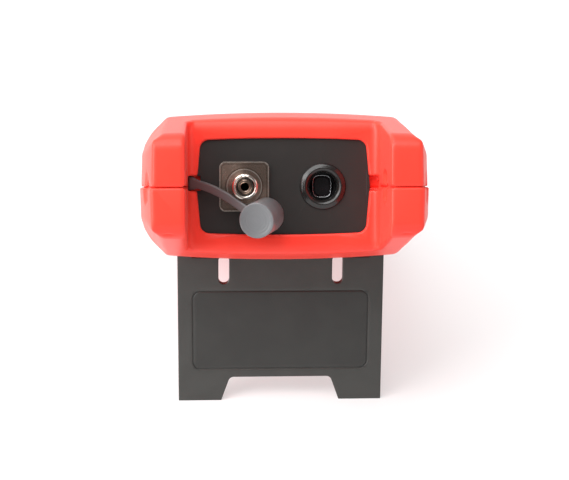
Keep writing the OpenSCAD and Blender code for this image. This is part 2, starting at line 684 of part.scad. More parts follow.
// Stand, drawn folded along y from its hinge axis and then swung open
module stand_outline() {
    h = stand_w / 2;
    difference() {
        polygon([[-h, 0], [h, 0], [h, stand_l + 4], [-h, stand_l + 4]]);
        // Trapezoid gap between the feet
        offset(r = 1.2) offset(delta = -1.2) polygon([[-17.7, stand_l - 8.2],
            [17.7, stand_l - 8.2], [22.8, stand_l + 6], [-22.8, stand_l + 6]]);
        // Edge set back between the knuckles, and the two slots
        k = knuckle_x;
        translate([-k[0][0], -3]) square([2 * k[0][0], 3 + stand_back]);
        for (s = [0, 1]) mirror([s, 0]) translate([k[0][1], -3])
            square([k[1][0] - k[0][1], 5.6]);
        for (x = [-slot_x, slot_x]) hull() for (u = slot_u)
            translate([x, u + (u < 10 ? 1 : -1) * slot_w / 2]) circle(slot_w / 2);
    }
}
module stand_plate() color(stand_grey) difference() {
    place() translate([stand_shift, hinge_y, hinge_z]) rotate([-stand_open, 0, 0])
        difference() {
            union() {
                translate([0, 0, -stand_t / 2]) linear_extrude(stand_t) stand_outline();
                both_sides() for (k = knuckle_x)
                    facing_x(k[0], 0, 0) cylinder(h = k[1] - k[0], r = knuckle_r);
            }
            facing_x(-50, 0, 0) cylinder(h = 100, r = rod_r + run_gap);
            // Shallow field on the outer face
            soft_plate([-field[0], field[1], -stand_t],
                [field[0], field[2], field[3] - stand_t / 2], 2.8);
        }
    span([-100, -300, -60], [100, 300, 0]);
}

module hinge_rod() place() color(steel)
    facing_x(-33.5, hinge_y, hinge_z) cylinder(h = 67, r = rod_r);

module battery_cover() place() color(shell_red) {
    difference() {
        intersection() {
            mirror([0, 0, 1]) half_form(outer_ys, 0, body_l);
            soft_plate([-cover_hw, cover_y[0], -40], [cover_hw, cover_y[1], cover_back], 3);
        }
        post(0, cover_screw_y, -40, -full_h(170) + 1.6, screw_head[0] + 0.3);
        post(0, cover_screw_y, -40, 0, screw_r + 0.1);
        // Grip ribs, cut across the end toward the tail
        for (i = [0:3]) facing_x(-12, 158 + i * 3, -full_h(160) - 0.3)
            cylinder(h = 24, r = 0.9);
    }
}

module cover_screw() place() color(steel) {
    z = 1.6 - full_h(170);
    post(0, cover_screw_y, z - 1.6, z, screw_head[0]);
    post(0, cover_screw_y, z, -14.2, screw_r - 0.2);
}

module battery_cells() place() color([0.55, 0.6, 0.2]) for (i = [0:2]) {
    s = i == 1 ? -1 : 1;
    facing_x(-cell_l / 2 + (s < 0 ? 1.4 : 0), cell_y[i], cell_z)
        cylinder(h = cell_l - 1.4, r = cell_r);
    facing_x(s > 0 ? cell_l / 2 - 1.4 : -cell_l / 2, cell_y[i], cell_z)
        cylinder(h = 1.4, r = 2.7);
}

module battery_contacts() place() color(nickel) for (i = [0:2], s = [-1, 1]) {
    spring = (i == 1 ? 1 : -1) == s;
    facing_x(s > 0 ? bay_box[0] - 0.5 : -bay_box[0], cell_y[i], cell_z)
        cylinder(h = 0.5, r = 6);
    reach_x = bay_box[0] - 0.5 - cell_l / 2;
    facing_x(s > 0 ? cell_l / 2 : 0.5 - bay_box[0], cell_y[i], cell_z)
        cylinder(h = reach_x, r = spring ? 3 : 2.2);
}

module shell_screws() place() color(steel) both_sides() for (s = shell_screw) {
    post(s[0], s[1], screw_seat - screw_head[1], screw_seat, screw_head[0]);
    post(s[0], s[1], screw_seat, 8.8, screw_r);
}

module board_screws() place() color(steel) both_sides() for (b = board_screw) {
    post(b[0], b[1], board_z - 1.4, board_z, 2);
    post(b[0], b[1], board_z, board_z + 7, 1);
}

front_shell();
rear_shell();
end_panel();
front_plate();
lcd_window();
lcd_module();
keypad_mat();
main_board();
key_switches();
key_power();
key_light();
key_store();
key_wave();
key_unit();
key_reference();
key_laser();
key_zero();
key_mode();
connector_flange();
connector_barrel();
ferrule_sleeve();
laser_diode();
port_bush();
port_lens();
photo_detector();
dust_cap();
cap_tether();
stand_plate();
hinge_rod();
battery_cover();
cover_screw();
battery_cells();
battery_contacts();
shell_screws();
board_screws();
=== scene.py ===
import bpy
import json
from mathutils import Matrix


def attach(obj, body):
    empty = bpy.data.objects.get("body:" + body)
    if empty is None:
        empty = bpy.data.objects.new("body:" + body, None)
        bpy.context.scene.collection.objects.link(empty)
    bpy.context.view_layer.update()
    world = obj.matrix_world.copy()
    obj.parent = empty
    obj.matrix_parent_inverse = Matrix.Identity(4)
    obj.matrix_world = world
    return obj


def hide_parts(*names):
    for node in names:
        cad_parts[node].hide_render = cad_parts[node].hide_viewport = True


bl_info = {
    "name": "Optical Multimeter",
    "version": (1, 0, 0),
    "blender": (4, 5, 0),
    "location": "3D View > Sidebar > Multimeter",
    "description": "Dresses the packed frame of a handheld optical multimeter on its open stand",
    "category": "Object",
}

import json
import math

import bmesh
import bpy
import numpy as np
import openvdb
from bpy.props import FloatProperty, FloatVectorProperty, PointerProperty
from mathutils import Matrix, Vector

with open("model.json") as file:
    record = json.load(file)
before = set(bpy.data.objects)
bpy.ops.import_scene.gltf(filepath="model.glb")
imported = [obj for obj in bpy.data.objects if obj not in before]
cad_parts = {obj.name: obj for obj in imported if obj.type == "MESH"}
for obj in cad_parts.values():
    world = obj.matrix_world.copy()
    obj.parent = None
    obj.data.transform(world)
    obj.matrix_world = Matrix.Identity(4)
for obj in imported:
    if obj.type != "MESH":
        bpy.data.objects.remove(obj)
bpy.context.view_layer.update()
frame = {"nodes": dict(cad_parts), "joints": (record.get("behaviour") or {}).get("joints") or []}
JOINTS = {joint["name"]: joint for joint in frame["joints"]}
MM = 0.001

# The instrument's own frame, in millimetres: x across, y from the horn faces to the
# bottom end, z out through the display, with the parting line at z = 0.
# It leans back on its stand, and the frame's joints say how.
STAND_HINGE = Vector((1.2, 60, -21.9))
OUT = -Vector(JOINTS["tether_swing"]["axis"])
ALONG = Vector((0, OUT.z, -OUT.y))
PLACE = Matrix((Vector((1, 0, 0)), ALONG, OUT)).transposed().to_4x4()
PLACE.translation = (Vector(JOINTS["stand_fold"]["pos_m"])
                     - PLACE.to_3x3() @ STAND_HINGE * MM)
PLACE = PLACE @ Matrix.Scale(MM, 4)
UNDERSIDE = PLACE @ Matrix.Scale(-1, 4, (0, 0, 1))
LEFT_SIDE = PLACE @ Matrix.Scale(-1, 4, (1, 0, 0))


def placed(x, y, z):
    """A point of the instrument's own frame, in millimetres, in the row frame."""
    return PLACE @ Vector((x, y, z))


# Housing
BODY_L, BODY_HW, GRIP_HW, BODY_HT = 190, 45.8, 44.6, 24.4
HORN_HW, HORN_HT, HORN_RUN = 41.3, 16, 26
CROWN_R, CREST_Y, CREST_SOFT = 480, 40, 4
REAR_HORN_HT, NOSE_R = 15.1, 5.2
GRIP_Y = (60, 115)
TAIL_THIN, TAIL_PLAN_R, TAIL_EDGE_R, TAIL_INNER_R = 0.8, 16, 7, 13
WALL, SEAM_GAP, SEAM_STEP, SEAM_R = 2.5, 0.36, 0.42, 0.15
# Edges of the two bevels, at the horns' tips and at the crest: how far in, how far down
SIDE_IN, SIDE_DROP = 0.3, (2.6, 10.8)
MID_IN, MID_DROP = (0.5, 2.6), (1.6, 6.7)
TOP_IN, TIP_CROWN = (2.8, 7.8), 0.35
TIP_EDGE_R, TOP_SOFT, BEVEL_SOFT = 1.2, 0.6, 0.5
# Bay between the horns
BAY_D, BAY_HW, BAY_DRAFT, END_WALL = 27, 31.1, 0.4, 3.2
BAY_R, BAY_EDGE_R = 2.8, 1.1
BROW_DROP, BROW_WAY, BROW_R = 1.9, (0.788, -0.616), 0.9
PANEL_HW, PANEL_HT, PANEL_R = 27.9, 15.5, 2.6
PANEL_BULGE, PANEL_CROWN = 1.3, 0.7
PANEL_Y = BAY_D + 1.2
NOTCH_X, NOTCH_Z, NOTCH_BACK = (26.9, 30.75), (-1.35, 3.45), BAY_D + 2.75
PORT_X = 12.7
# Long marks in the horns' walls: where along the horn, size, how deep cut
MARK_INSIDE, MARK_OUTSIDE, MARK_END = (13, (9, 11), 1.6), (5.5, (6, 11), 0.8), 2.2
# Slit under each horn
SLIT_AT, SLIT_SIZE, SLIT_D = (36.3, 14.0), (1.3, 0.22), 2.6
# Front plate, screws, stand pocket and battery cover
PLATE_HW, PLATE_Y, PLATE_Z, PLATE_T = 34, (47, 172), 22.6, 2
WINDOW_HW, WINDOW_Y = 29, (56, 98)
SHELL_SCREWS, SCREW_R = ((33, 46), (33, 176)), 1.4
STAND_W, STAND_L, STAND_T, HINGE_Y, HINGE_Z = 71, 54.2, 3, 60, -21.9
STAND_SEEN_W, STAND_SHIFT, STAND_OPEN = 71.6, 0.75, math.radians(80)
SLOT_X, SLOT_R, SLOT_U = 19.75, 1.85, (3.9, 10.25)
FIELD_HW, FIELD_U, FIELD_R = 30.6, (14.7, 42.9), 2.8
FIELD_MID, FIELD_HALF = sum(FIELD_U) / 2, (FIELD_U[1] - FIELD_U[0]) / 2
COVER_HW, COVER_Y, COVER_T, COVER_SCREW_Y = 31.5, (121, 181), 2.2, 175.5


def mix(a, b, t):
    return a + (b - a) * t


def ease(t):
    t = np.clip(t, 0, 1)
    return t * t * (3 - 2 * t)


def half_w(y):
    """Half width of the housing at a depth."""
    horn = mix(HORN_HW, BODY_HW, 1 - (1 - np.clip(y, 0, HORN_RUN) / HORN_RUN) ** 2)
    grip = (GRIP_HW - BODY_HW) * ease((y - GRIP_Y[0]) / (GRIP_Y[1] - GRIP_Y[0]))
    return horn + grip


def half_h(y, tip=HORN_HT):
    """Half thickness of the housing at a depth, from that of the horns' tips."""
    slope = (BODY_HT - tip) / CREST_Y
    crest = BODY_HT - slope * (CREST_Y + CREST_SOFT - y) ** 2 / (4 * CREST_SOFT)
    back = BODY_HT - TAIL_THIN * ease((y - CREST_Y) / (BODY_L - CREST_Y))
    return np.where(y < CREST_Y - CREST_SOFT, tip + slope * y,
                    np.where(y < CREST_Y + CREST_SOFT, crest, back))


def round_max(a, b, r):
    """What is inside both fields, with the edge where they meet rounded to radius r."""
    u = np.maximum(a + r, 0)
    v = np.maximum(b + r, 0)
    return np.minimum(np.maximum(a, b), -r) + np.hypot(u, v)


def blend_max(a, b, k):
    """What is inside both fields, where they meet at a blunt angle."""
    share = np.maximum(k - np.abs(a - b), 0) / k
    return np.maximum(a, b) + share * share * k / 4


def cut(body, tool, r=0.35):
    return round_max(body, -tool, r)


def join(a, b):
    return np.minimum(a, b)


def plane(u, v, at, normal):
    """Distance in front of a straight line through a point, in two coordinates."""
    size = np.hypot(normal[0], normal[1])
    return ((u - at[0]) * normal[0] + (v - at[1]) * normal[1]) / size


def block(grid, low, high, r=0.3):
    """Box from its lowest to its highest corner, with round vertical edges."""
    x, y, z = grid
    across = np.maximum(low[0] - x, x - high[0])
    deep = np.maximum(low[1] - y, y - high[1])
    return np.maximum(round_max(across, deep, r), np.maximum(low[2] - z, z - high[2]))


def post(grid, cx, cy, low, high, r):
    x, y, z = grid
    return np.maximum(np.hypot(x - cx, y - cy) - r, np.maximum(low - z, z - high))


def section(grid, narrow=0, inset=0, tip=HORN_HT):
    """Crown, upper bevel and side of one half of the housing, display side up."""
    x, y, z = grid
    w = half_w(y) - narrow - inset
    h = half_h(y, tip) - inset
    share = np.clip(y / CREST_Y, 0, 1)
    early = 1 - (1 - share) ** 3
    sag = mix(TIP_CROWN, 1, share) / (2 * CROWN_R)
    low = h - mix(*SIDE_DROP, early)
    mid_in, mid = mix(*MID_IN, early), h - mix(*MID_DROP, early)
    top_x = w - mix(*TOP_IN, early)
    top = h - top_x ** 2 * sag
    side = plane(x, z, (w - SIDE_IN, low), (low, SIDE_IN))
    lower_bevel = plane(x, z, (w - SIDE_IN, low), (mid - low, mid_in - SIDE_IN))
    upper_bevel = plane(x, z, (w - mid_in, mid), (top - mid, w - mid_in - top_x))
    crown = z - h + x * x * sag
    return crown, upper_bevel, blend_max(side, lower_bevel, BEVEL_SOFT)


def bay(grid):
    x, y, z = grid
    return round_max(x - BAY_HW + BAY_DRAFT * y / BAY_D, y - BAY_D, BAY_R)


def housing_plan(grid):
    """Outline of the housing on the parting line."""
    x, y, z = grid
    outline = round_max(x - half_w(y), -y, 1.8)
    outline = round_max(outline, y - BODY_L, TAIL_PLAN_R)
    return cut(outline, bay(grid), 1)


def opening(grid):
    """Opening of the end panel, which bulges at the parting line."""
    x, y, z = grid
    side = x - PANEL_HW + PANEL_BULGE * np.abs(z) / (PANEL_HT - PANEL_CROWN)
    top = np.abs(z) - PANEL_HT + PANEL_CROWN * (x / PANEL_HW) ** 2
    return np.maximum(round_max(side, top, PANEL_R), np.maximum(BAY_D - 2 - y, y - 40))


def half_shell(grid, narrow, tip):
    """One shell before its own cuts: outer form, hollow, bay, brow and opening."""
    x, y, z = grid
    crown, bevel, side = section(grid, narrow, 0, tip)
    top = blend_max(round_max(crown, -y, NOSE_R), round_max(bevel, -y, TIP_EDGE_R),
                    TOP_SOFT)
    top = round_max(top, y - BODY_L, TAIL_EDGE_R)
    side = round_max(round_max(side, -y, TIP_EDGE_R), y - BODY_L, TAIL_PLAN_R)
    form = blend_max(top, side, BEVEL_SOFT)
    form = round_max(form, SEAM_GAP / 2 - z, SEAM_R)
    crown, bevel, side = section(grid, narrow, WALL, tip)
    inner = np.maximum(np.maximum(crown, bevel),
                       round_max(side, y - BODY_L + WALL, TAIL_INNER_R))
    inner = np.maximum(inner, np.maximum(BAY_D + END_WALL - y, y - BODY_L + WALL))
    form = np.maximum(form, -inner)
    # The soft brow over the panel, then the bay itself
    lip = float(half_h(BAY_D)) - BROW_DROP
    brow = np.maximum(plane(y, z, (BAY_D, lip), BROW_WAY), x - BAY_HW + 2)
    form = cut(form, brow, BROW_R)
    return cut(form, bay(grid), BAY_EDGE_R)


def dimple(grid, wall, mark, side):
    """Shallow mark in a wall, straight in its middle and pointed at its ends."""
    x, y, z = grid
    at, size, deep = mark
    wide_r = ((size[0] / 2) ** 2 + deep ** 2) / (2 * deep)
    straight = size[1] / 2 - MARK_END
    end = np.maximum(np.abs(z) - straight, 0) / MARK_END
    middle = wall + side * (wide_r - deep)
    return np.maximum(np.hypot(x - middle, y - at) - wide_r + deep * end ** 2, end - 1.2)


def wall_details(form, grid, up):
    """Panel opening, strap notch and the two marks, up = 1 on the display side."""
    form = cut(form, opening(grid), 0.35)
    low, high = sorted((up * NOTCH_Z[0], up * NOTCH_Z[1]))
    form = cut(form, block(grid, (NOTCH_X[0], BAY_D - 2, low), (NOTCH_X[1], 32, high)), 0.15)
    form = cut(form, dimple(grid, BAY_HW - BAY_DRAFT / 2, MARK_INSIDE, -1), 0.1)
    wall = float(half_w(MARK_OUTSIDE[0]))
    return cut(form, dimple(grid, wall, MARK_OUTSIDE, 1), 0.1)


def notch_back(form, grid, low, high):
    """Wall behind a strap notch, clear of the tongue of the rear shell."""
    return join(form, block(grid, (26.4, NOTCH_BACK, low),
                            (33, BAY_D + END_WALL + 1.6, high)))


def cover_seat():
    """Height of the floor that the battery cover lies on."""
    return float(half_h(150)) - COVER_T - 0.6


def front_form(grid):
    x, y, z = grid
    form = half_shell(grid, SEAM_STEP, HORN_HT)
    ledge = PLATE_Z - PLATE_T
    form = join(form, block(grid, (-1, PLATE_Y[0] - 3.5, ledge - 2),
                            (PLATE_HW + 3, PLATE_Y[1] + 3.5, ledge + 0.9)))
    form = wall_details(form, grid, 1)
    form = cut(form, block(grid, (-1, PLATE_Y[0] - 0.15, ledge),
                           (PLATE_HW + 0.15, PLATE_Y[1] + 0.15, 40), 7), 0.25)
    form = cut(form, block(grid, (-1, PLATE_Y[0] + 4, 10),
                           (WINDOW_HW + 2, PLATE_Y[1] - 6, 40), 5), 0.3)
    plan = housing_plan(grid)
    rebate = np.maximum(np.maximum(plan + 1.3, -plan - WALL - 2), z - 2)
    return notch_back(cut(form, rebate, 0.1), grid, -0.3, 4.95)


def rear_form(grid):
    """The rear shell, drawn upside down with its outer face up."""
    x, y, z = grid
    form = half_shell(grid, 0, REAR_HORN_HT)
    plan = housing_plan(grid)
    tongue = np.maximum(np.maximum(plan + 1.45, -plan - WALL - 0.1),
                        np.maximum(-1.7 - z, z - 1.5))
    floor = -HINGE_Z - STAND_T / 2 - 0.4
    stand_end = HINGE_Y + STAND_L
    form = join(form, tongue)
    for low, high in (
            ((HINGE_Y - 6, floor - 2.2), (STAND_W / 2 + 4, stand_end + 4, 21.4)),
            ((COVER_Y[0] - 0.5, 4), (31.4, 172, 21.6)),
            ((170, 13), (6, 179, 21.6))):
        form = join(form, block(grid, (-1, *low), high))
    for screw in SHELL_SCREWS:
        form = join(form, post(grid, *screw, 1, 21.6, 3.9))
    form = wall_details(form, grid, -1)
    form = notch_back(form, grid, 0.3, 2.85)
    wide, tall = SLIT_SIZE
    slit = (np.hypot((x - SLIT_AT[0]) / wide, (z - SLIT_AT[1]) / tall) - 1) * tall
    form = cut(form, np.maximum(slit, y - SLIT_D), 0.03)
    room = STAND_W / 2 + 1.7
    for low, high, r, edge_r in (
            # Stand, its hinge, a finger notch, the cells and the battery cover
            ((HINGE_Y + 0.4, floor), (room, stand_end + 1.6), 0.8, 0.4),
            ((HINGE_Y - 2.4, -HINGE_Z - 2.4), (room, HINGE_Y + 3), 0.5, 0.4),
            ((stand_end - 6, floor - 0.8), (9, stand_end + 3.4), 2, 0.4),
            ((124, 6), (29.4, 170), 0.3, 0.1),
            ((COVER_Y[0] - 0.15, cover_seat()), (COVER_HW + 0.15, COVER_Y[1] + 0.15),
             3.2, 0.3)):
        form = cut(form, block(grid, (-1, *low), (*high, 40), r), edge_r)
    form = cut(form, post(grid, 0, COVER_SCREW_Y, 14, 30, SCREW_R - 0.2), 0.1)
    for screw in SHELL_SCREWS:
        form = cut(form, post(grid, *screw, 14, 40, 3), 0.3)
        form = cut(form, post(grid, *screw, -4, 40, SCREW_R + 0.1), 0.05)
    # Hinge lugs, and the pad that stops the open stand
    lug = np.maximum(np.hypot(y - HINGE_Y, z + HINGE_Z) - 1.85,
                     np.maximum(24.5 - x, x - 29.5))
    lug = join(lug, block(grid, (24.5, HINGE_Y - 1.85, -HINGE_Z - 3.4),
                          (29.5, HINGE_Y + 1.85, -HINGE_Z)))
    stop = block(grid, (-1, HINGE_Y - 2.9, -HINGE_Z - 2.9), (12, HINGE_Y - 1.37, 23.4))
    return join(join(form, lug), stop)


def linked(name, data):
    """An object with some data, in the scene."""
    made = bpy.data.objects.new(name, data)
    bpy.context.scene.collection.objects.link(made)
    return made


def new_object(name, mesh, body, material, replaces=()):
    piece = linked(name, mesh)
    mesh.materials.append(material)
    for face in mesh.polygons:
        face.use_smooth = True
    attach(piece, body)
    if replaces:
        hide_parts(*replaces)
    return piece


def piece_of_field(name, field, low, high, voxel, body, material, replaces=(),
                   mirrored=False, place=PLACE, keep=1.0):
    """Skins the zero surface of a field that is negative inside. mirrored fields are
    worked out for x of 0 or more and copied to the other side."""
    steps = [int(math.ceil((b - a) / voxel)) + 1 for a, b in zip(low, high)]
    axes = [a + voxel * np.arange(n) for a, n in zip(low, steps)]
    grid = np.meshgrid(*axes, indexing="ij", sparse=True)
    values = field(grid) + np.zeros(steps)
    start = low[0]
    if mirrored:
        values = np.concatenate([values[:0:-1], values])
        start = -float(axes[0][-1])
    values = np.clip(values, -4 * voxel, 4 * voxel).astype(np.float32)
    volume = openvdb.FloatGrid(4 * voxel)
    volume.copyFromArray(values)
    points, triangles, quads = volume.convertToPolygons(isovalue=0, adaptivity=0)
    points = np.asarray(points) * voxel + (start, low[1], low[2])
    mesh = bpy.data.meshes.new(name)
    mesh.from_pydata(points, [], [list(f) for f in triangles] + [list(f) for f in quads])
    if keep < 1:
        mesh = thinned(mesh, keep)
    mesh.transform(place)
    point_outward(mesh)
    return new_object(name, mesh, body, material, replaces)


def point_outward(mesh):
    """Turns every face outward, by the sign of the mesh's volume."""
    work = bmesh.new()
    work.from_mesh(mesh)
    if work.calc_volume(signed=True) < 0:
        bmesh.ops.reverse_faces(work, faces=work.faces)
    work.to_mesh(mesh)
    work.free()


def thinned(mesh, keep):
    """The mesh with its flat stretches in fewer faces."""
    holder = linked("holder", mesh)
    thin = holder.modifiers.new("thin", "DECIMATE")
    thin.ratio = keep
    thin.use_collapse_triangulate = True
    graph = bpy.context.evaluated_depsgraph_get()
    result = bpy.data.meshes.new_from_object(holder.evaluated_get(graph))
    bpy.data.objects.remove(holder)
    bpy.data.meshes.remove(mesh)
    return result


def srgb(red, green, blue):
    """A colour from its display values, 0 to 255, as shaders take it."""
    values = [c / 255 for c in (red, green, blue)]
    return [c / 12.92 if c < 0.04045 else ((c + 0.055) / 1.055) ** 2.4 for c in values]


def infix(operation, swapped=False):
    """One of Python's operators on a Wire, as the Math node that works it out."""
    def method(self, other):
        return self.math(operation, *((other, self) if swapped else (self, other)))
    return method


class Wire:
    """A socket of a material. Python's operators on it add Math nodes."""

    def __init__(self, finish, socket):
        self.finish = finish
        self.socket = socket

    def math(self, operation, first, second=0.0):
        return self.finish.node("ShaderNodeMath", {"operation": operation},
                                {0: first, 1: second})

    __add__ = __radd__ = infix("ADD")
    __sub__, __rsub__ = infix("SUBTRACT"), infix("SUBTRACT", True)
    __mul__ = __rmul__ = infix("MULTIPLY")
    __truediv__, __rtruediv__ = infix("DIVIDE"), infix("DIVIDE", True)
    __pow__, __rpow__ = infix("POWER"), infix("POWER", True)
    __or__ = __ror__ = infix("MAXIMUM")

    def __abs__(self):
        return self.math("ABSOLUTE", self)

    def root(self):
        return self.math("SQRT", self)

    def sine(self):
        return self.math("SINE", self)

    def wrapped(self, period):
        """Distance from the nearest whole multiple of a period."""
        return self.math("PINGPONG", self, period / 2)

    def between(self, low, high):
        """0 up to low, 1 from high, and a soft step between them."""
        settings = {"interpolation_type": "SMOOTHSTEP"}
        return self.finish.node("ShaderNodeMapRange", settings,
                                {"Value": self, "From Min": low, "From Max": high})


class Finish:
    """Node tree of one material, drawn in the instrument's own frame in millimetres."""

    def __init__(self, name, **constants):
        self.material = bpy.data.materials.new(name)
        self.material.use_nodes = True
        self.tree = self.material.node_tree
        self.shader = self.tree.nodes["Principled BSDF"]
        for socket, value in constants.items():
            self.put(self.shader.inputs[socket.replace("_", " ")], value)
        self.height = None

    def put(self, socket, value):
        if isinstance(value, Wire):
            self.tree.links.new(value.socket, socket)
        elif socket.type == "RGBA" and len(value) == 3:
            socket.default_value = (*value, 1)
        else:
            socket.default_value = value

    def node(self, kind, settings, sockets, out=0):
        made = self.tree.nodes.new(kind)
        for name, value in settings.items():
            setattr(made, name, value)
        for name, value in sockets.items():
            self.put(made.inputs[name], value)
        return Wire(self, made.outputs[out])

    def point(self):
        """Place on the object, in millimetres of the row frame."""
        place = self.node("ShaderNodeTexCoord", {}, {}, "Object")
        return self.node("ShaderNodeVectorMath", {"operation": "SCALE"},
                         {0: place, "Scale": 1 / MM})

    def local(self):
        """x, y and z in the instrument's own frame, in millimetres."""
        place = self.point()
        back = PLACE.inverted()
        axes = [back.row[i].to_3d() * MM for i in range(3)]
        return [self.node("ShaderNodeVectorMath", {"operation": "DOT_PRODUCT"},
                          {0: place, 1: axes[i]}, "Value") + back.row[i].w
                for i in range(3)]

    def noise(self, size, detail=2.0, rough=0.5):
        """Cloudy noise of 0 to 1 with spots of about a size in millimetres."""
        return self.node("ShaderNodeTexNoise", {},
                         {"Vector": self.point(), "Scale": 1 / size, "Detail": detail,
                          "Roughness": rough}, "Fac")

    def blend(self, share, first, second):
        """Colour between two others."""
        return self.node("ShaderNodeMix", {"data_type": "RGBA"},
                         {0: share, 6: self.colour(first), 7: self.colour(second)}, 2)

    def colour(self, value):
        return value if isinstance(value, Wire) else (*value, 1)

    def emboss(self, height, depth):
        """Relief from a height of 0 to 1 that stands a depth in millimetres."""
        sockets = {"Height": height, "Distance": depth * MM, "Strength": 1.0}
        if self.height:
            sockets["Normal"] = self.height
        self.height = self.node("ShaderNodeBump", {}, sockets, "Normal")
        self.put(self.shader.inputs["Normal"], self.height)

    def paint(self, socket, value):
        self.put(self.shader.inputs[socket], value)

    def worn(self, colour, light, low=0.35, high=0.75, size=9.0):
        """Base colour with slow, faint changes over the surface."""
        self.paint("Base Color", self.blend(self.noise(size).between(low, high), colour, light))


def shade(colour, factor):
    return [min(1.0, c * factor) for c in colour]


def moulded(name, colour, grain, depth, rough, change=1.06, **more):
    """Plastic with the fine spark-eroded texture of its mould."""
    finish = Finish(name, Roughness=rough, **more)
    finish.worn(colour, shade(colour, change))
    fine = finish.noise(grain, 3.0, 0.6)
    finish.paint("Roughness", fine * 0.16 + (rough - 0.08))
    finish.emboss(fine, depth)
    return finish


def dress(node, finish, width=0.2, segments=3, angle=35):
    """Gives a CAD node its finish and soft edges."""
    piece = frame["nodes"][node]
    weld = piece.modifiers.new("weld", "WELD")
    weld.merge_threshold = 1e-6
    soft = piece.modifiers.new("soft edges", "BEVEL")
    soft.width = width * MM
    soft.segments = segments
    soft.angle_limit = math.radians(angle)
    soft.harden_normals = True
    soft.use_clamp_overlap = True
    for slot in piece.material_slots:
        slot.material = finish.material


def finished(name, work, body, material, replaces):
    """The piece that a mesh under work in the instrument's frame becomes."""
    mesh = bpy.data.meshes.new(name)
    work.to_mesh(mesh)
    work.free()
    mesh.transform(PLACE)
    point_outward(mesh)
    return new_object(name, mesh, body, material, replaces)


def lathe(name, profile, at, direction, body, material, replaces=(), turns=96):
    """Turns a profile of (distance along, radius) about an axis in the instrument's
    frame. A profile that doesn't reach the axis closes on itself as a ring."""
    work = bmesh.new()
    axis = Vector(direction).normalized()
    side = axis.cross(Vector((0, 0, 1))).normalized()
    up = side.cross(axis)
    rings = []
    for along, radius in profile:
        centre = Vector(at) + axis * along
        if radius < 1e-6:
            rings.append([work.verts.new(centre)])
            continue
        angles = [2 * math.pi * i / turns for i in range(turns)]
        rings.append([work.verts.new(centre + radius * (math.cos(a) * side + math.sin(a) * up))
                      for a in angles])
    closed = len(rings[0]) > 1 and len(rings[-1]) > 1
    pairs = list(zip(rings, rings[1:])) + ([(rings[-1], rings[0])] if closed else [])
    for first, second in pairs:
        for i in range(turns):
            j = (i + 1) % turns
            corners = [first[i % len(first)], first[j % len(first)],
                       second[j % len(second)], second[i % len(second)]]
            unique = list(dict.fromkeys(corners))
            if len(unique) > 2:
                work.faces.new(unique)
    return finished(name, work, body, material, replaces)


def sweep(name, rings, body, material, replaces=()):
    """Closed bar through rings of equal length, with its ends closed."""
    work = bmesh.new()
    made = [[work.verts.new(p) for p in ring] for ring in rings]
    count = len(rings[0])
    for first, second in zip(made, made[1:]):
        for i in range(count):
            j = (i + 1) % count
            work.faces.new((first[i], first[j], second[j], second[i]))
    work.faces.new(made[0][::-1])
    work.faces.new(made[-1])
    return finished(name, work, body, material, replaces)


def shell_finish(colour):
    return moulded("shell plastic", colour, 0.22, 0.008, 0.38, 1.05,
                   Specular_IOR_Level=0.28, Sheen_Weight=0.03, Sheen_Roughness=0.4,
                   Subsurface_Weight=0.06, Subsurface_Radius=(0.8, 0.2, 0.1),
                   Subsurface_Scale=0.002)


def turned_metal(name, colour, rough, centre_x=-PORT_X, pitch=0.22):
    """Plated metal with the fine rings of the lathe round a port's axis, and a painted highlight
    in two fans.
    """
    finish = Finish(name, Metallic=1.0)
    x, y, z = finish.local()
    radius = ((x - centre_x) ** 2 + z ** 2).root()
    rings = (radius * (2 * math.pi / pitch) + finish.noise(1.5) * 3).sine() * 0.5 + 0.5
    stain = finish.noise(2.6, 4.0, 0.6).between(0.35, 0.7)
    # Painted highlight: two lighter fans in the base colour stand in for the light that the
    # turning marks catch
    painted_fan = ((x - centre_x) * z / (radius * radius) * -2).between(-0.5, 0.95)
    painted_highlight_tone = finish.blend(painted_fan, shade(colour, 0.85), shade(colour, 1.5))
    finish.paint("Base Color", finish.blend(stain * 0.5, painted_highlight_tone, shade(colour, 0.45)))
    finish.paint("Roughness", rings * 0.1 + stain * 0.1 + rough)
    finish.emboss(rings, 0.006)
    return finish


def plain_metal(name, colour, rough):
    finish = Finish(name, Metallic=1.0)
    finish.worn(colour, shade(colour, 0.8), size=3.0)
    finish.paint("Roughness", finish.noise(0.4, 3.0, 0.6) * 0.15 + rough)
    return finish


def dress_metal(node, name, colour, rough, width=0.2):
    """Gives a CAD node a plain metal finish."""
    dress(node, plain_metal(name, colour, rough), width)


def settings_of(context):
    return context.scene.multimeter


class Build:
    """What the operators share: each dresses its own pieces."""

    bl_options = {"REGISTER", "UNDO"}

    def execute(self, context):
        self.build(settings_of(context))
        return {"FINISHED"}


class MULTIMETER_OT_housing(Build, bpy.types.Operator):
    """Build the two moulded shells of the housing"""

    bl_idname = "multimeter.housing"
    bl_label = "Housing"

    def build(self, look):
        material = shell_finish(look.shell_colour).material
        step = look.mesh_step / MM
        top = BODY_HT + 1.2
        for name, form, low, place, node in (
                ("front_housing", front_form, -0.8, PLACE, "front_shell"),
                ("rear_housing", rear_form, -2.4, UNDERSIDE, "rear_shell")):
            piece_of_field(name, form, (0, -1.5, low), (47, BODY_L + 1.6, top), step,
                           "case", material, [node], True, place, look.mesh_share)


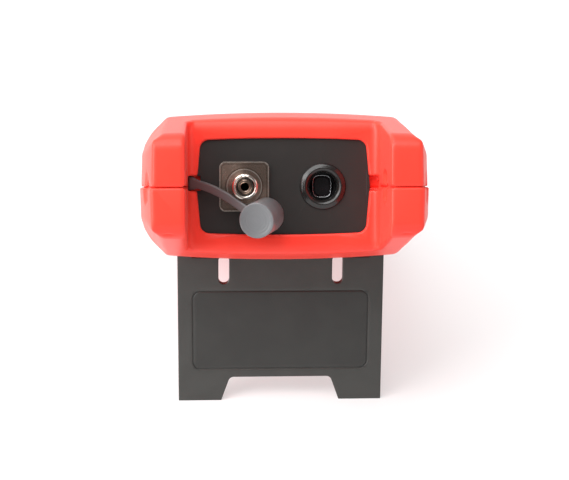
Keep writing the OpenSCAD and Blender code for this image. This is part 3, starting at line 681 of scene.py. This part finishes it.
class MULTIMETER_OT_end_panel(Build, bpy.types.Operator):
    """Finish the dark panel that carries the ports"""

    bl_idname = "multimeter.end_panel"
    bl_label = "End panel"

    def build(self, look):
        finish = moulded("panel plastic", look.panel_colour, 0.2, 0.01, 0.46, 1.25)
        dress("end_panel", finish, 0.15)

        def lug(grid):
            x, y, z = grid
            low, high = NOTCH_Z
            return np.maximum(block(grid, (26.6, PANEL_Y, low - 1.7),
                                    (28.1, PANEL_Y + 1.4, high + 1.7)),
                              x - PANEL_HW - 0.1 + PANEL_BULGE * np.abs(z) / PANEL_HT)

        def lugs(grid):
            room = block(grid, (26, 26, NOTCH_Z[0]), (29, 32, NOTCH_Z[1]))
            return np.maximum(lug(grid), -room)

        for name, field, place in (("panel_lugs", lug, PLACE),
                                   ("panel_lugs_left", lugs, LEFT_SIDE)):
            piece_of_field(name, field, (26, 27.6, -3.6), (28.8, 30.8, 5.8), 0.1, "case",
                           finish.material, place=place)


class MULTIMETER_OT_connector(Build, bpy.types.Operator):
    """Build the threaded fibre connector and what sits behind it"""

    bl_idname = "multimeter.connector"
    bl_label = "Threaded connector"

    def build(self, look):
        plated = turned_metal("turned nickel", look.nickel_colour, 0.2)
        self.flange_rims(plated, look)
        dress("connector_flange", plated, 0.3, 4)
        bright = turned_metal("bright nickel", look.thread_colour, 0.12, pitch=0.15)
        self.barrel(bright.material)
        dress("ferrule_sleeve", turned_metal("sleeve", look.sleeve_colour, 0.15), 0.1)
        dress_metal("laser_diode", "laser can", shade(look.steel_colour, 0.08), 0.5, 0.3)

    def flange_rims(self, finish, look):
        """Painted highlights along the rims of the square and of its collar, with a painted
        shadow line beside each.
        """
        rim, collar, rim_line, collar_line = (7.6, 7.7), 5.5, 7.2, 5.95
        x, y, z = finish.local()
        across, up = abs(x + PORT_X), abs(z)
        radius = (across ** 2 + up ** 2).root()
        edge = (across | up) | ((across + up) * 0.72 - 2.6)
        # Painted highlight: a lighter colour along each rim, where its edge would catch the light
        painted_highlight = edge.between(*rim) | (0.2 - abs(radius - collar)).between(0, 0.08)
        # Painted shadow: a darker line beside each rim
        shadow = ((0.2 - abs(edge - rim_line)).between(0, 0.15)
                  | (0.25 - abs(radius - collar_line)).between(0, 0.15))
        base = Wire(finish, finish.shader.inputs["Base Color"].links[0].from_socket)
        dark = finish.blend(shadow * 0.6, base, shade(look.nickel_colour, 0.25))
        finish.paint("Base Color", finish.blend(painted_highlight * 0.6, dark, look.thread_colour))

    def barrel(self, material):
        start, length, seat = 16.5, 13.2, 8.2
        thread_r, core_r, pitch, depth = 4, 3.7, 0.75, 0.42
        bore, back_r, back_bore = 2.95, 3.4, 2.3

        def form(grid):
            across, along, up = grid
            r = np.hypot(across, up)
            turn = np.arctan2(up, across) / (2 * np.pi)
            phase = (along / pitch + turn) % 1
            crest = np.clip(np.abs(phase - 0.5) * 2.9 - 0.35, 0, 1)
            threaded = (along > 0.5) & (along < seat - 0.2)
            outer = r - np.where(threaded, thread_r - depth * crest, core_r)
            outer = np.where(along > seat, r - back_r, outer)
            chamfer = plane(r, along, (3.6, 0), (1, -1))
            outer = np.maximum(np.maximum(outer, chamfer), round_max(-along, outer, 0.1))
            bore_r = np.where(along < seat + 0.6, bore, back_bore)
            hollow = r - bore_r
            body = np.maximum(outer, along - length)
            body = round_max(body, -hollow, 0.12)
            lead = plane(r, along, (bore + 0.25, 0), (-1, -1))
            body = np.maximum(body, lead)
            slot = np.maximum(np.maximum(np.abs(across) - 1, along - 3.4), 1 - up)
            return cut(body, slot, 0.12)

        place = PLACE @ Matrix.Translation((-PORT_X, start, 0))
        piece_of_field("threaded_barrel", form, (-4.3, -0.4, -4.3), (4.3, 13.7, 4.3), 0.1,
                       "case", material, ["connector_barrel"], place=place,
                       keep=0.5)


class MULTIMETER_OT_detector_port(Build, bpy.types.Operator):
    """Build the soft ring, the lens and the detector of the second port"""

    bl_idname = "multimeter.detector_port"
    bl_label = "Detector port"

    def build(self, look):
        rubber = moulded("bush rubber", look.bush_colour, 0.15, 0.004, 0.26, 1.3)
        ring = [(5.2, 4.8), (5.2, 6.25), (0, 6.25), (0, 7.5), (-0.2, 7.46), (-0.45, 7.32),
                (-0.68, 7.05), (-0.84, 6.72), (-0.98, 6.45), (-1.14, 6.28), (-1.26, 6.1),
                (-1.3, 5.9), (-1.26, 5.7), (-1.12, 5.42), (-0.9, 5.14), (-0.6, 4.88),
                (-0.25, 4.68), (0.2, 4.55), (0.7, 4.5), (4.2, 4.5), (4.4, 4.8)]
        lathe("port_ring", ring, (PORT_X, PANEL_Y, 0), (0, 1, 0), "case",
              rubber.material, ["port_bush"])
        glass = Finish("detector glass", Roughness=0.06, Specular_IOR_Level=0.3)
        haze = glass.noise(2.0).between(0.3, 0.8)
        glass.paint("Base Color", glass.blend(haze, look.lens_colour,
                                              shade(look.lens_colour, 1.6)))
        dress("port_lens", glass, 0.2)
        pillow = [(0.4, 0), (0.4, 3.2), (-0.2, 3.2), (-0.5, 3.08), (-0.7, 2.8), (-0.78, 2.4),
                  (-0.8, 0)]
        window = lathe("detector_window", pillow, (PORT_X, PANEL_Y + 4.6, 0), (0, 1, 0), "case",
                       glass.material)
        rim = [(0.4, 3.15), (-0.6, 3.15), (-0.72, 3.2), (-0.76, 3.3), (-0.7, 3.4),
               (-0.55, 3.44), (0.4, 3.44)]
        steel = plain_metal("window rim", look.steel_colour, 0.18)
        border = lathe("window_rim", rim, (PORT_X, PANEL_Y + 4.6, 0), (0, 1, 0), "case",
                       steel.material)
        for piece in (window, border):
            square(piece.data, (PORT_X, 0), (0.9, 1.08), 3.4)
        dress_metal("photo_detector", "detector can", look.gold_colour, 0.28, 0.3)


def square(mesh, centre, scale, power):
    """Squares off what was turned about a port's axis."""
    back = PLACE.inverted()
    for vertex in mesh.vertices:
        at = back @ vertex.co
        u, v = at.x - centre[0], at.z - centre[1]
        r = math.hypot(u, v)
        if r > 1e-6:
            c, s = abs(u / r), abs(v / r)
            grow = (c ** power + s ** power) ** (-1 / power)
            at.x = centre[0] + u * grow * scale[0]
            at.z = centre[1] + v * grow * scale[1]
            vertex.co = PLACE @ at


CAP_BACK = Vector((-5.5, 23.1, -8.95))
CAP_WAY = Vector((-3.9, -11, -1.55)).normalized()
STRAP = [Vector(p) for p in ((-30.3, 28.5, 1.05), (-25.4, 25.4, 0.9), (-19.2, 20.6, -1.9),
                             (-11.2, 16.4, -8.2))]
# The strap is taller and thinner at its root, over this share of its length
STRAP_TALL, STRAP_THICK, STRAP_ROOT = (4.7, 2.7), (1.3, 1.5), 0.2


def curve(points, t):
    a, b, c, d = points
    return ((1 - t) ** 3 * a + 3 * (1 - t) ** 2 * t * b + 3 * (1 - t) * t * t * c
            + t ** 3 * d)


class MULTIMETER_OT_dust_cap(Build, bpy.types.Operator):
    """Build the hanging dust cap and its tether strap"""

    bl_idname = "multimeter.dust_cap"
    bl_label = "Dust cap"

    def build(self, look):
        rubber = moulded("cap rubber", look.cap_colour, 0.12, 0.004, 0.3, 1.08,
                         Subsurface_Weight=0.25, Subsurface_Radius=(1.0, 0.8, 0.8),
                         Subsurface_Scale=0.003)
        offset = rubber.node("ShaderNodeVectorMath", {"operation": "SUBTRACT"},
                             {0: rubber.point(), 1: PLACE @ CAP_BACK / MM})
        arm = rubber.node("ShaderNodeVectorMath", {"operation": "CROSS_PRODUCT"},
                          {0: offset, 1: (PLACE.to_3x3() @ CAP_WAY).normalized()})
        radius = rubber.node("ShaderNodeVectorMath", {"operation": "LENGTH"}, {0: arm}, "Value")
        rubber.emboss((radius * (2 * math.pi / 0.9)).sine() * 0.5 + 0.5, 0.02)
        profile = [(9, 0), (9, 3.9), (8.8, 4.08), (0.2, 4.08), (0, 4.28), (0, 5.25), (0.08, 5.48),
                   (0.3, 5.6), (11.3, 5.6), (11.52, 5.56), (11.66, 5.44), (11.7, 5.25),
                   (11.66, 5.05), (11.5, 3.2), (11.35, 0)]
        lathe("rubber_cap", profile, CAP_BACK, CAP_WAY, "tether", rubber.material,
              ["dust_cap"])
        strap = moulded("strap rubber", look.strap_colour, 0.12, 0.004, 0.42, 1.15)
        self.strap(strap.material)

    def strap(self, material):
        rings = []
        steps, corner = 48, 0.5
        for i in range(steps + 1):
            t = i / steps
            at = curve(STRAP, t)
            way = (curve(STRAP, t + 0.01) - curve(STRAP, t - 0.01)).normalized()
            side = way.cross(Vector((0, 0, 1))).normalized()
            up = side.cross(way)
            past_root = float(ease(t / STRAP_ROOT))
            tall = mix(*STRAP_TALL, past_root) / 2
            thick = mix(*STRAP_THICK, past_root) / 2
            ring = []
            for cx, cy, turn in ((1, 1, 0), (-1, 1, 1), (-1, -1, 2), (1, -1, 3)):
                for k in range(5):
                    angle = math.pi / 2 * (turn + k / 4)
                    ring.append(at + side * (cx * (thick - corner) + corner * math.cos(angle))
                                + up * (cy * (tall - corner) + corner * math.sin(angle)))
            rings.append(ring)
        sweep("tether_strap", rings, "tether", material, ["cap_tether"])


class MULTIMETER_OT_stand(Build, bpy.types.Operator):
    """Finish the stand plate and its hinge rod"""

    bl_idname = "multimeter.stand"
    bl_label = "Stand"

    def build(self, look):
        finish = moulded("stand plastic", look.stand_colour, 0.35, 0.03, 0.46, 1.2)
        self.field_tone(finish, look.stand_colour)
        place = (PLACE @ Matrix.Translation((STAND_SHIFT, HINGE_Y, HINGE_Z))
                 @ Matrix.Rotation(-STAND_OPEN, 4, "X"))
        lift = [v / MM for v in place.row[2]]

        def form(grid):
            x, u, w = grid
            height = x * lift[0] + u * lift[1] + w * lift[2] + lift[3]
            return np.maximum(self.plate(x, u, w), -height)

        piece_of_field("stand_leaf", form, (0, -2.3, -2.3), (36.3, 57, 2.3), 0.18, "stand",
                       finish.material, ["stand_plate"], True, place, 0.2)
        dress_metal("hinge_rod", "rod steel", look.steel_colour, 0.25)

    def field_tone(self, finish, colour):
        """The plate is a little darker inside the line round its field."""
        x, y, z = finish.local()
        along = (y - HINGE_Y) * math.cos(STAND_OPEN) - (z - HINGE_Z) * math.sin(STAND_OPEN)
        outside = (abs(x - STAND_SHIFT) - FIELD_HW) | (abs(along - FIELD_MID) - FIELD_HALF)
        cloud = finish.noise(9.0).between(0.3, 0.75)
        margin = finish.blend(cloud, shade(colour, 1.5), shade(colour, 1.75))
        inside = finish.blend(cloud, colour, shade(colour, 1.15))
        finish.paint("Base Color", finish.blend(outside.between(-0.2, 0.2), inside, margin))

    def plate(self, x, u, w):
        """The folded stand: u runs from its hinge to its feet, w through the plate."""
        half = STAND_SEEN_W / 2
        start = np.where(x < 14, 1, np.where((x > 23.1) & (x < 30.9), 2.6, 0))
        form = round_max(np.maximum(x - half, start - u), np.abs(w) - STAND_T / 2, 0.25)
        gap_u = STAND_L - 8.2
        gap = round_max(plane(x, u, (17.7, gap_u), (14.2, -5.1)), gap_u - u, 1.2)
        form = cut(form, gap, 0.25)
        slot = np.hypot(x - SLOT_X, u - np.clip(u, *SLOT_U)) - SLOT_R
        form = cut(form, slot, 0.2)
        field = round_max(x - FIELD_HW, np.abs(u - FIELD_MID) - FIELD_HALF, FIELD_R)
        line = np.abs(field) - 0.24
        form = cut(form, np.maximum(line, w + STAND_T / 2 - 0.3), 0.1)
        for low, high in ((14, 23.1), (30.9, half)):
            form = join(form, np.maximum(np.hypot(u, w) - 1.9, np.maximum(low - x, x - high)))
        return cut(form, np.hypot(u, w) - 1.05, 0.05)


class MULTIMETER_OT_display(Build, bpy.types.Operator):
    """Finish the front plate, the display and its window"""

    bl_idname = "multimeter.display"
    bl_label = "Display"

    def build(self, look):
        plate = moulded("plate plastic", look.panel_colour, 0.2, 0.008, 0.42, 1.2)
        dress("front_plate", plate, 0.2)
        self.window(look)
        self.glass(look)

    def window(self, look):
        finish = Finish("window", Roughness=0.05, IOR=1.49, Transmission_Weight=1.0)
        x, y, z = finish.local()
        mid, half = sum(WINDOW_Y) / 2, (WINDOW_Y[1] - WINDOW_Y[0]) / 2
        border = (abs(x) - (WINDOW_HW - 4)) | (abs(y - mid) - (half - 3.6))
        mask = border.between(-0.1, 0.1)
        paint = finish.node("ShaderNodeBsdfPrincipled", {},
                            {"Base Color": (0.006, 0.006, 0.007), "Roughness": 0.08})
        finish.paint("Base Color", finish.blend(finish.noise(6.0), (0.93, 0.96, 0.94),
                                                (0.96, 0.98, 0.97)))
        both = finish.node("ShaderNodeMixShader", {},
                           {0: mask, 1: Wire(finish, finish.shader.outputs[0]), 2: paint})
        finish.put(finish.tree.nodes["Material Output"].inputs["Surface"], both)
        dress("lcd_window", finish, 0.25)

    def glass(self, look):
        finish = Finish("display glass", Roughness=0.3, Coat_Weight=0.6, Coat_Roughness=0.1)
        x, y, z = finish.local()
        lines = x.wrapped(0.5).between(0.2, 0.25) * y.wrapped(0.5).between(0.2, 0.25)
        finish.paint("Base Color", finish.blend(lines, look.display_colour,
                                                shade(look.display_colour, 0.93)))
        dress("lcd_module", finish, 0.2)


class MULTIMETER_OT_keypad(Build, bpy.types.Operator):
    """Finish the keys, their mat and their switches"""

    bl_idname = "multimeter.keypad"
    bl_label = "Keypad"

    def build(self, look):
        rubber = moulded("key rubber", look.key_colour, 0.15, 0.006, 0.5, 1.05)
        accent = moulded("power key rubber", look.shell_colour, 0.15, 0.006, 0.5, 1.05)
        for name in frame["nodes"]:
            if name.startswith("key_") and name != "key_switches":
                dress(name, accent if name == "key_power" else rubber, 0.35, 4)
        dress("keypad_mat", moulded("mat rubber", shade(look.key_colour, 0.5), 0.15, 0.006,
                                    0.6), 0.2)
        dress_metal("key_switches", "switch steel", look.steel_colour, 0.35, 0.15)


class MULTIMETER_OT_battery(Build, bpy.types.Operator):
    """Build the battery cover and finish the cells"""

    bl_idname = "multimeter.battery"
    bl_label = "Battery bay"

    def build(self, look):
        def form(grid):
            x, y, z = grid
            crown, bevel, side = section(grid)
            outline = block(grid, (-1, COVER_Y[0], cover_seat()),
                            (COVER_HW, COVER_Y[1], 40), 3)
            body = round_max(np.maximum(crown, bevel), outline, 0.35)
            body = cut(body, post(grid, 0, COVER_SCREW_Y, float(half_h(170)) - 1.6, 40, 3), 0.3)
            body = cut(body, post(grid, 0, COVER_SCREW_Y, 0, 40, SCREW_R + 0.1), 0.1)
            for i in range(4):
                rib = np.maximum(np.hypot(y - 158 - 3 * i, z - half_h(160) - 0.3) - 0.9, x - 12)
                body = cut(body, rib, 0.25)
            return body

        piece_of_field("battery_lid", form, (0, COVER_Y[0] - 1, 19), (32.5, 182, 25.4), 0.3,
                       "case", bpy.data.materials["shell plastic"],
                       ["battery_cover"], True, UNDERSIDE, 0.4)
        wrap = Finish("cell wrap", Roughness=0.3, Coat_Weight=0.4)
        x, y, z = wrap.local()
        band = abs(x).between(15.5, 15.8)
        wrap.paint("Base Color", wrap.blend(band, look.cell_colour, (0.03, 0.03, 0.03)))
        wrap.paint("Metallic", abs(x).between(24.2, 24.4))
        dress("battery_cells", wrap, 0.5)
        dress_metal("battery_contacts", "contact nickel", look.thread_colour, 0.3, 0.15)


class MULTIMETER_OT_board(Build, bpy.types.Operator):
    """Finish the circuit board and its screws"""

    bl_idname = "multimeter.board"
    bl_label = "Circuit board"

    def build(self, look):
        finish = Finish("circuit board", Roughness=0.35, Coat_Weight=0.5)
        x, y, z = finish.local()
        bend = finish.noise(9.0, 1.0) * 6
        traces = (x + bend).wrapped(1.6).between(0.55, 0.62)
        finish.paint("Base Color", finish.blend(traces, look.board_colour,
                                                shade(look.board_colour, 1.8)))
        dress("main_board", finish, 0.15)
        dress_metal("board_screws", "board screw steel", look.steel_colour, 0.3)


class MULTIMETER_OT_screws(Build, bpy.types.Operator):
    """Build the housing screws with their cross recesses"""

    bl_idname = "multimeter.screws"
    bl_label = "Screws"

    def build(self, look):
        steel = plain_metal("screw steel", look.steel_colour, 0.25).material
        for name, (sx, sy) in zip(("top", "tail"), SHELL_SCREWS):
            for side, mark in ((-1, "left"), (1, "right")):
                self.screw("%s_screw_%s" % (name, mark), (side * sx, sy, -16), 24.8,
                           SCREW_R, 0.2 + side + 0.1 * sy, steel, "shell_screws")
        low = -float(half_h(170))
        self.screw("battery_screw", (0, COVER_SCREW_Y, low), -14.2 - low, SCREW_R - 0.2, 0.6,
                   steel, "cover_screw")

    def screw(self, name, at, length, shaft, turn, material, node):
        head, deep = 2.7, 1.6 if node == "cover_screw" else 2

        def form(grid):
            x, y, z = grid
            r = np.hypot(x, y)
            cap = np.maximum(r - head, z - deep)
            cap = round_max(cap, -z + 0.12 * (r / head) ** 2, 0.45)
            rod = np.maximum(r - shaft, z - length)
            rod = np.maximum(rod, plane(r, z, (shaft, length - 0.8), (1, 1)))
            body = join(cap, np.maximum(rod, deep / 2 - z))
            u = x * math.cos(turn) + y * math.sin(turn)
            v = y * math.cos(turn) - x * math.sin(turn)
            narrow, wide = 0.34, 1.45 - 0.45 * z
            cross = np.minimum(np.maximum(np.abs(u) - narrow, np.abs(v) - wide),
                               np.maximum(np.abs(v) - narrow, np.abs(u) - wide))
            return cut(body, np.maximum(cross, z - 1.3), 0.08)

        place = PLACE @ Matrix.Translation(at)
        piece_of_field(name, form, (-3, -3, -0.3), (3, 3, length + 0.3), 0.12, "case",
                       material, [node], place=place, keep=0.3)


class MULTIMETER_OT_stage(Build, bpy.types.Operator):
    """Set up the pale floor, the studio light and the camera"""

    bl_idname = "multimeter.stage"
    bl_label = "Stage"

    def build(self, look):
        scene = bpy.context.scene
        scene.view_settings.view_transform = "Standard"
        self.floor(look)
        self.lights(look)
        self.camera(look)

    def floor(self, look):
        half = 3.0
        mesh = bpy.data.meshes.new("floor")
        mesh.from_pydata([(-half, -half, 0), (half, -half, 0), (half, half, 0),
                          (-half, half, 0)], [], [(0, 1, 2, 3)])
        piece = linked("floor", mesh)
        finish = Finish("floor paper", Roughness=0.9, Specular_IOR_Level=0.1,
                        Emission_Color=(1, 1, 1), Emission_Strength=look.floor_glow)
        finish.worn((0.42, 0.42, 0.42), (0.44, 0.44, 0.44), size=300)
        mesh.materials.append(finish.material)

    def lights(self, look):
        world = bpy.data.worlds.new("studio")
        world.use_nodes = True
        world.node_tree.nodes["Background"].inputs["Color"].default_value = (1, 1, 1, 1)
        world.node_tree.nodes["Background"].inputs["Strength"].default_value = look.room_light
        bpy.context.scene.world = world
        middle = placed(0, 40, 0)
        for name, way, size, power in (
                ("top softbox", (-0.25, -0.2, 1.0), 0.9, look.top_light),
                ("left softbox", (-1.0, -0.35, 0.5), 0.8, look.left_light),
                ("right softbox", (1.0, -0.35, 0.4), 0.6, look.right_light),
                ("back softbox", (-0.3, 1.0, 0.4), 1.6, look.back_light)):
            lamp = bpy.data.lights.new(name, "AREA")
            lamp.shape = "SQUARE"
            lamp.size = size
            lamp.energy = power
            holder = linked(name, lamp)
            away = Vector(way).normalized()
            holder.location = middle + away * 1.0
            holder.rotation_euler = away.to_track_quat("Z", "Y").to_euler()

    def camera(self, look):
        lens = bpy.data.cameras.new("camera")
        lens.sensor_width = 36
        lens.lens = look.focal_length
        lens.clip_start = 0.01
        holder = linked("camera", lens)
        yaw, pitch, roll, stand_point = 0.0556, -0.0489, 0.0021, (-23.55, -400, 3.72)
        turn = (Matrix.Rotation(-yaw, 4, "Z") @ Matrix.Rotation(pitch + math.pi / 2, 4, "X")
                @ Matrix.Rotation(-roll, 4, "Z"))
        place = PLACE.to_3x3().normalized().to_4x4() @ turn
        place.translation = placed(*stand_point)
        holder.matrix_world = place
        bpy.context.scene.camera = holder


def number_property(name, description, default, low, high, **more):
    return FloatProperty(name=name, description=description, default=default, min=low,
                         max=high, **more)


def light_property(place, default):
    about = "Power of the %s softbox, in W" % place.lower()
    return number_property(place + " light", about, default, 0, 100, unit="POWER")


def colour_property(name, owner, default):
    return FloatVectorProperty(name=name, description="Colour of " + owner, default=default,
                               subtype="COLOR", size=3, min=0, max=1)


class MultimeterSettings(bpy.types.PropertyGroup):
    """Sizes and colours of the multimeter that a user may change."""

    shell_colour: colour_property("Housing", "the two shells", srgb(246, 62, 48))
    panel_colour: colour_property("Panel", "the end panel", srgb(30, 27, 25))
    stand_colour: colour_property("Stand", "the stand", srgb(45, 45, 43))
    nickel_colour: colour_property("Flange", "the flange's plating", srgb(150, 130, 118))
    thread_colour: colour_property("Thread", "the bright thread", srgb(215, 205, 196))
    sleeve_colour: colour_property("Sleeve", "the sleeve", srgb(150, 130, 118))
    steel_colour: colour_property("Steel", "screws and rod", srgb(190, 191, 194))
    gold_colour: colour_property("Can", "the detector's can", srgb(205, 175, 110))
    bush_colour: colour_property("Port ring", "the soft ring", srgb(24, 23, 22))
    lens_colour: colour_property("Lens", "the port's lens", (0.006, 0.005, 0.006))
    cap_colour: colour_property("Dust cap", "the cap", srgb(106, 108, 110))
    strap_colour: colour_property("Strap", "the strap", srgb(84, 84, 85))
    key_colour: colour_property("Keys", "the keys", srgb(160, 162, 164))
    display_colour: colour_property("Display", "the display", srgb(150, 162, 148))
    board_colour: colour_property("Board", "the board", (0.01, 0.1, 0.04))
    cell_colour: colour_property("Cells", "the cells", (0.35, 0.32, 0.05))
    mesh_step: number_property("Mesh step", "Grid step of the shells' meshes", 0.0005,
                               0.0003, 0.001, precision=5, unit="LENGTH")
    mesh_share: number_property("Faces kept", "Share of the shells' faces kept", 0.25,
                                0.05, 1, subtype="FACTOR")
    floor_glow: number_property("Floor glow", "Light of the floor itself", 0.5, 0, 2)
    room_light: number_property("Room light", "Strength of the white room", 0.25, 0, 3)
    top_light: light_property("Top", 12)
    left_light: light_property("Left", 15)
    right_light: light_property("Right", 2)
    back_light: light_property("Back", 8)
    focal_length: number_property("Focal length", "Camera's lens, in mm", 84.19, 20, 300,
                                  subtype="DISTANCE_CAMERA")


PIECES = (MULTIMETER_OT_housing, MULTIMETER_OT_end_panel, MULTIMETER_OT_connector,
          MULTIMETER_OT_detector_port, MULTIMETER_OT_dust_cap, MULTIMETER_OT_stand,
          MULTIMETER_OT_display, MULTIMETER_OT_keypad, MULTIMETER_OT_battery,
          MULTIMETER_OT_board, MULTIMETER_OT_screws, MULTIMETER_OT_stage)


class MULTIMETER_PT_sidebar(bpy.types.Panel):
    """Settings and build steps of the multimeter"""

    bl_idname = "MULTIMETER_PT_sidebar"
    bl_label = "Optical Multimeter"
    bl_space_type = "VIEW_3D"
    bl_region_type = "UI"
    bl_category = "Multimeter"

    def draw(self, context):
        look = settings_of(context)
        for name in MultimeterSettings.__annotations__:
            self.layout.prop(look, name)
        for piece in PIECES:
            self.layout.operator(piece.bl_idname)


CLASSES = (MultimeterSettings, *PIECES, MULTIMETER_PT_sidebar)


def register():
    for cls in CLASSES:
        bpy.utils.register_class(cls)
    bpy.types.Scene.multimeter = PointerProperty(type=MultimeterSettings)


def unregister():
    del bpy.types.Scene.multimeter
    for cls in reversed(CLASSES):
        bpy.utils.unregister_class(cls)


def main():
    register()
    for piece in PIECES:
        group, name = piece.bl_idname.split(".")
        getattr(getattr(bpy.ops, group), name)()


if __name__ == "__main__":
    main()
